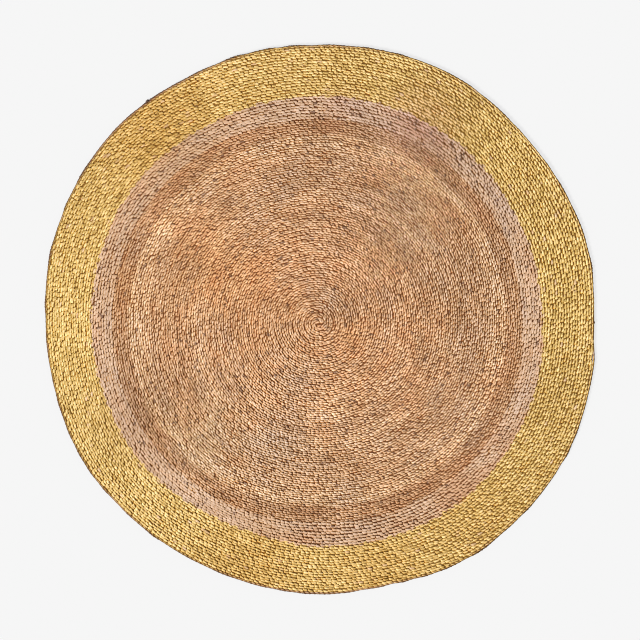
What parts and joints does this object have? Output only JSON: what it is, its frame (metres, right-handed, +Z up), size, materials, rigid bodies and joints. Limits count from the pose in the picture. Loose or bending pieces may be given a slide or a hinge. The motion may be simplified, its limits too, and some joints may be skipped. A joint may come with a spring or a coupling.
{
  "type": "round jute rug",
  "caption": "Round rug of flat jute plait, coiled on edge and sewn round to round, with a natural field, a pale ring and a wide gold-coloured border. It lies flat on the floor.",
  "frame": {"origin": "middle of the outline's box, on the floor under the rug", "axes": "+Z up, through the rug's thickness; +Y is the picture's up and +X its right"},
  "size_m": [1.193, 1.192, 0.01],
  "materials": {
    "natural_jute": "matt plaited jute, warm brown with darker flecks",
    "pale_jute": "matt plaited jute, pale and slightly pink",
    "gold_jute": "plaited jute coloured gold, with a soft metallic sheen worn thin in places"
  },
  "bodies": {
    "root": {"field_coil": "natural_jute", "plain_band": "pale_jute", "gold_border": "gold_jute"}
  },
  "joints": []
}
